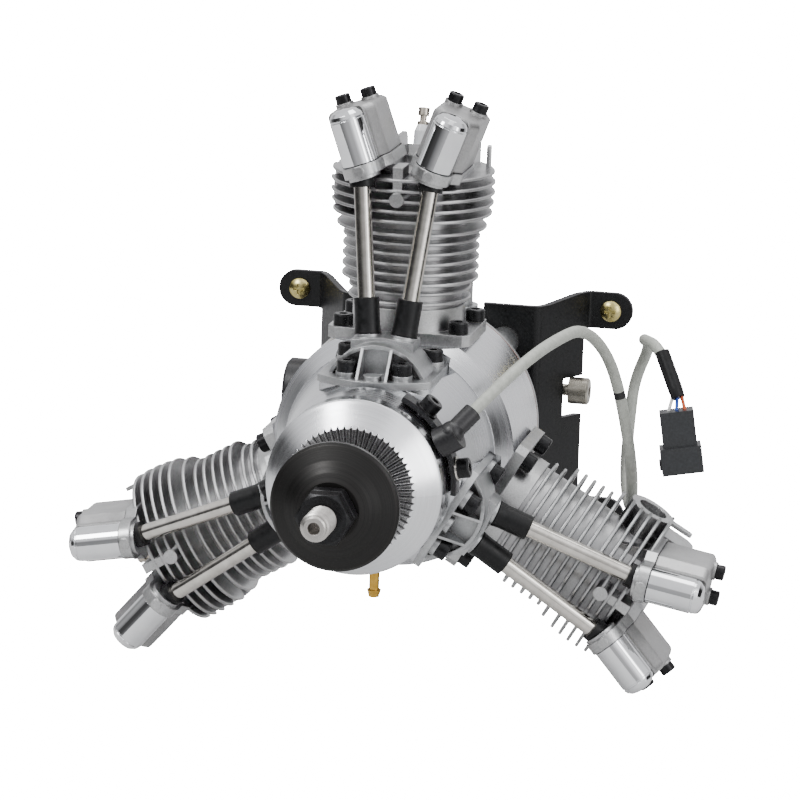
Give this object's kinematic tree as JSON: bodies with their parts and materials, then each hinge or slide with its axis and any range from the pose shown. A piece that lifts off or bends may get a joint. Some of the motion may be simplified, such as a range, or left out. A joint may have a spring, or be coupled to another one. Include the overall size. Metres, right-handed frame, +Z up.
{
  "type": "radial aircraft engine",
  "caption": "Small four-stroke radial engine for a model aircraft, with opened running gear, propeller hub, bent steel mount and ignition sensor cable.",
  "frame": {"origin": "centre of the four firewall screws, on the rear face of the mount's ears", "axes": "+Y from the propeller back to the firewall, parallel to the crankshaft; +Z up along the top cylinder; +X to the right seen from the propeller"},
  "size_m": [0.2372, 0.2487, 0.2103],
  "materials": {
    "polished_steel": "polished",
    "black_steel": "black oxide",
    "dark_steel": "satin",
    "machined_aluminium": "fine turned",
    "cast_aluminium": "satin",
    "black_anodised": "anodised satin",
    "chrome": "mirror",
    "gasket": "matte",
    "black_rubber": "satin",
    "bracket_black": "satin",
    "zinc_yellow": "zinc plated",
    "brass": "polished",
    "black_plastic": "satin",
    "cable_grey": "smooth",
    "plug_white": "glazed"
  },
  "bodies": {
    "engine": {"bracket_screws": "black_steel", "cable_connector": "black_plastic", "cable_sleeve": "black_rubber", "cap_screws": "black_steel", "carburettor": "black_plastic", "case_gasket": "gasket", "cover_seals": "black_rubber", "crankcase": "machined_aluminium", "cylinder_1": "cast_aluminium", "cylinder_2": "cast_aluminium", "cylinder_3": "cast_aluminium", "firewall_screws": "zinc_yellow", "front_housing": "machined_aluminium", "hose_nipples": "brass", "intake_pipes": "cast_aluminium", "main_bearings": "polished_steel", "mount_bracket": "bracket_black", "pushrod_seals": "black_rubber", "pushrod_tubes": "polished_steel", "rear_cover": "cast_aluminium", "rocker_cover_caps": "chrome", "rocker_covers": "cast_aluminium", "rocker_shafts": "polished_steel", "sensor_cable": "cable_grey", "sensor_holder": "black_plastic", "small_cap_screws": "black_steel", "spark_plugs": "plug_white", "tappet_housings": "cast_aluminium", "valve_springs": "polished_steel"},
    "crank": {"crankshaft": "dark_steel", "drive_hub": "machined_aluminium", "prop_washer": "black_anodised", "prop_nuts": "black_steel"},
    "idler": {"idler_gear": "polished_steel"},
    "cam": {"cam_ring": "polished_steel"},
    "throttle": {"throttle_valve": "dark_steel"},
    "piston_1": {"piston_1": "cast_aluminium"},
    "rod_1": {"connecting_rod_1": "machined_aluminium"},
    "pushrod_1_intake": {"pushrod_1_intake": "polished_steel"},
    "rocker_1_intake": {"rocker_1_intake": "polished_steel"},
    "valve_1_intake": {"valve_1_intake": "polished_steel"},
    "pushrod_1_exhaust": {"pushrod_1_exhaust": "polished_steel"},
    "rocker_1_exhaust": {"rocker_1_exhaust": "polished_steel"},
    "valve_1_exhaust": {"valve_1_exhaust": "polished_steel"},
    "piston_2": {"piston_2": "cast_aluminium"},
    "rod_2": {"connecting_rod_2": "machined_aluminium"},
    "pushrod_2_intake": {"pushrod_2_intake": "polished_steel"},
    "rocker_2_intake": {"rocker_2_intake": "polished_steel"},
    "valve_2_intake": {"valve_2_intake": "polished_steel"},
    "pushrod_2_exhaust": {"pushrod_2_exhaust": "polished_steel"},
    "rocker_2_exhaust": {"rocker_2_exhaust": "polished_steel"},
    "valve_2_exhaust": {"valve_2_exhaust": "polished_steel"},
    "piston_3": {"piston_3": "cast_aluminium"},
    "rod_3": {"connecting_rod_3": "machined_aluminium"},
    "pushrod_3_intake": {"pushrod_3_intake": "polished_steel"},
    "rocker_3_intake": {"rocker_3_intake": "polished_steel"},
    "valve_3_intake": {"valve_3_intake": "polished_steel"},
    "pushrod_3_exhaust": {"pushrod_3_exhaust": "polished_steel"},
    "rocker_3_exhaust": {"rocker_3_exhaust": "polished_steel"},
    "valve_3_exhaust": {"valve_3_exhaust": "polished_steel"}
  },
  "joints": [
    {"name": "crank_spin", "type": "hinge", "parent": "engine", "child": "crank", "pos_m": [0, -0.138, 0.0062], "axis": [0, 1, 0], "continuous": true},
    {"name": "idler_spin", "type": "hinge", "parent": "engine", "child": "idler", "pos_m": [0, -0.122, -0.0058], "axis": [0, 1, 0], "continuous": true},
    {"name": "cam_spin", "type": "hinge", "parent": "engine", "child": "cam", "pos_m": [0, -0.128, 0.0062], "axis": [0, 1, 0], "continuous": true},
    {"name": "piston_1_slide", "type": "slide", "parent": "engine", "child": "piston_1", "axis": [0, 0, 1], "range_m": [-0.027, 0]},
    {"name": "rod_1_swing", "type": "hinge", "parent": "piston_1", "child": "rod_1", "pos_m": [0, -0.0925, 0.0717], "axis": [0, 1, 0], "range_deg": [-15.05, 15.05]},
    {"name": "pushrod_1_intake_lift", "type": "slide", "parent": "engine", "child": "pushrod_1_intake", "axis": [0.1091, 0.1758, 0.9784], "range_m": [0, 0.0028]},
    {"name": "rocker_1_intake_rock", "type": "hinge", "parent": "engine", "child": "rocker_1_intake", "pos_m": [0.01466, -0.1043, 0.11301], "axis": [0.9415, 0, -0.3371], "range_deg": [-12.5, 0]},
    {"name": "valve_1_intake_open", "type": "slide", "parent": "engine", "child": "valve_1_intake", "axis": [-0.3371, 0, -0.9415], "range_m": [0, 0.00276], "deforming": ["valve_springs"]},
    {"name": "pushrod_1_exhaust_lift", "type": "slide", "parent": "engine", "child": "pushrod_1_exhaust", "axis": [-0.1091, 0.1758, 0.9784], "range_m": [0, 0.0028]},
    {"name": "rocker_1_exhaust_rock", "type": "hinge", "parent": "engine", "child": "rocker_1_exhaust", "pos_m": [-0.01466, -0.1043, 0.11301], "axis": [-0.9415, 0, -0.3371], "range_deg": [0, 12.5]},
    {"name": "valve_1_exhaust_open", "type": "slide", "parent": "engine", "child": "valve_1_exhaust", "axis": [0.3371, 0, -0.9415], "range_m": [0, 0.00276], "deforming": ["valve_springs"]},
    {"name": "piston_2_slide", "type": "slide", "parent": "engine", "child": "piston_2", "axis": [0.866, 0, -0.5], "range_m": [-0.00542, 0.02158]},
    {"name": "rod_2_swing", "type": "hinge", "parent": "piston_2", "child": "rod_2", "pos_m": [0.03803, -0.088, -0.01576], "axis": [0, 1, 0], "range_deg": [-28.04, 2.05]},
    {"name": "pushrod_2_intake_lift", "type": "slide", "parent": "engine", "child": "pushrod_2_intake", "axis": [0.7928, 0.1758, -0.5836], "range_m": [0, 0.0028]},
    {"name": "rocker_2_intake_rock", "type": "hinge", "parent": "engine", "child": "rocker_2_intake", "pos_m": [0.08517, -0.1043, -0.0599], "axis": [-0.7627, 0, -0.6468], "range_deg": [-12.5, 0]},
    {"name": "valve_2_intake_open", "type": "slide", "parent": "engine", "child": "valve_2_intake", "axis": [-0.6468, 0, 0.7627], "range_m": [0, 0.00276], "deforming": ["valve_springs"]},
    {"name": "pushrod_2_exhaust_lift", "type": "slide", "parent": "engine", "child": "pushrod_2_exhaust", "axis": [0.9018, 0.1758, -0.3947], "range_m": [0, 0.0028]},
    {"name": "rocker_2_exhaust_rock", "type": "hinge", "parent": "engine", "child": "rocker_2_exhaust", "pos_m": [0.09983, -0.1043, -0.03451], "axis": [0.1788, 0, 0.9839], "range_deg": [0, 12.5]},
    {"name": "valve_2_exhaust_open", "type": "slide", "parent": "engine", "child": "valve_2_exhaust", "axis": [-0.9839, 0, 0.1788], "range_m": [0, 0.00276], "deforming": ["valve_springs"]},
    {"name": "piston_3_slide", "type": "slide", "parent": "engine", "child": "piston_3", "axis": [-0.866, 0, -0.5], "range_m": [-0.00542, 0.02158]},
    {"name": "rod_3_swing", "type": "hinge", "parent": "piston_3", "child": "rod_3", "pos_m": [-0.03803, -0.0835, -0.01576], "axis": [0, 1, 0], "range_deg": [-2.05, 28.04]},
    {"name": "pushrod_3_intake_lift", "type": "slide", "parent": "engine", "child": "pushrod_3_intake", "axis": [-0.9018, 0.1758, -0.3947], "range_m": [0, 0.0028]},
    {"name": "rocker_3_intake_rock", "type": "hinge", "parent": "engine", "child": "rocker_3_intake", "pos_m": [-0.09983, -0.1043, -0.03451], "axis": [-0.1788, 0, 0.9839], "range_deg": [-12.5, 0]},
    {"name": "valve_3_intake_open", "type": "slide", "parent": "engine", "child": "valve_3_intake", "axis": [0.9839, 0, 0.1788], "range_m": [0, 0.00276], "deforming": ["valve_springs"]},
    {"name": "pushrod_3_exhaust_lift", "type": "slide", "parent": "engine", "child": "pushrod_3_exhaust", "axis": [-0.7928, 0.1758, -0.5836], "range_m": [0, 0.0028]},
    {"name": "rocker_3_exhaust_rock", "type": "hinge", "parent": "engine", "child": "rocker_3_exhaust", "pos_m": [-0.08517, -0.1043, -0.0599], "axis": [0.7627, 0, -0.6468], "range_deg": [0, 12.5]},
    {"name": "valve_3_exhaust_open", "type": "slide", "parent": "engine", "child": "valve_3_exhaust", "axis": [0.6468, 0, 0.7627], "range_m": [0, 0.00276], "deforming": ["valve_springs"]},
    {"name": "throttle_turn", "type": "hinge", "parent": "engine", "child": "throttle", "pos_m": [-0.023, -0.012, 0.0022], "axis": [0, 0, 1], "range_deg": [0, 75]}
  ],
  "couplings": [
    {"joint": "idler_spin", "follows": "crank_spin", "ratio": -1.5},
    {"joint": "cam_spin", "follows": "crank_spin", "ratio": -0.5},
    {"joint": "rocker_1_intake_rock", "follows": "pushrod_1_intake_lift", "rad_per_m": -77.8},
    {"joint": "valve_1_intake_open", "follows": "pushrod_1_intake_lift", "ratio": 0.9796},
    {"joint": "rocker_1_exhaust_rock", "follows": "pushrod_1_exhaust_lift", "rad_per_m": 77.8},
    {"joint": "valve_1_exhaust_open", "follows": "pushrod_1_exhaust_lift", "ratio": 0.9796},
    {"joint": "rocker_2_intake_rock", "follows": "pushrod_2_intake_lift", "rad_per_m": -77.8},
    {"joint": "valve_2_intake_open", "follows": "pushrod_2_intake_lift", "ratio": 0.9796},
    {"joint": "rocker_2_exhaust_rock", "follows": "pushrod_2_exhaust_lift", "rad_per_m": 77.8},
    {"joint": "valve_2_exhaust_open", "follows": "pushrod_2_exhaust_lift", "ratio": 0.9796},
    {"joint": "rocker_3_intake_rock", "follows": "pushrod_3_intake_lift", "rad_per_m": -77.8},
    {"joint": "valve_3_intake_open", "follows": "pushrod_3_intake_lift", "ratio": 0.9796},
    {"joint": "rocker_3_exhaust_rock", "follows": "pushrod_3_exhaust_lift", "rad_per_m": 77.8},
    {"joint": "valve_3_exhaust_open", "follows": "pushrod_3_exhaust_lift", "ratio": 0.9796}
  ]
}
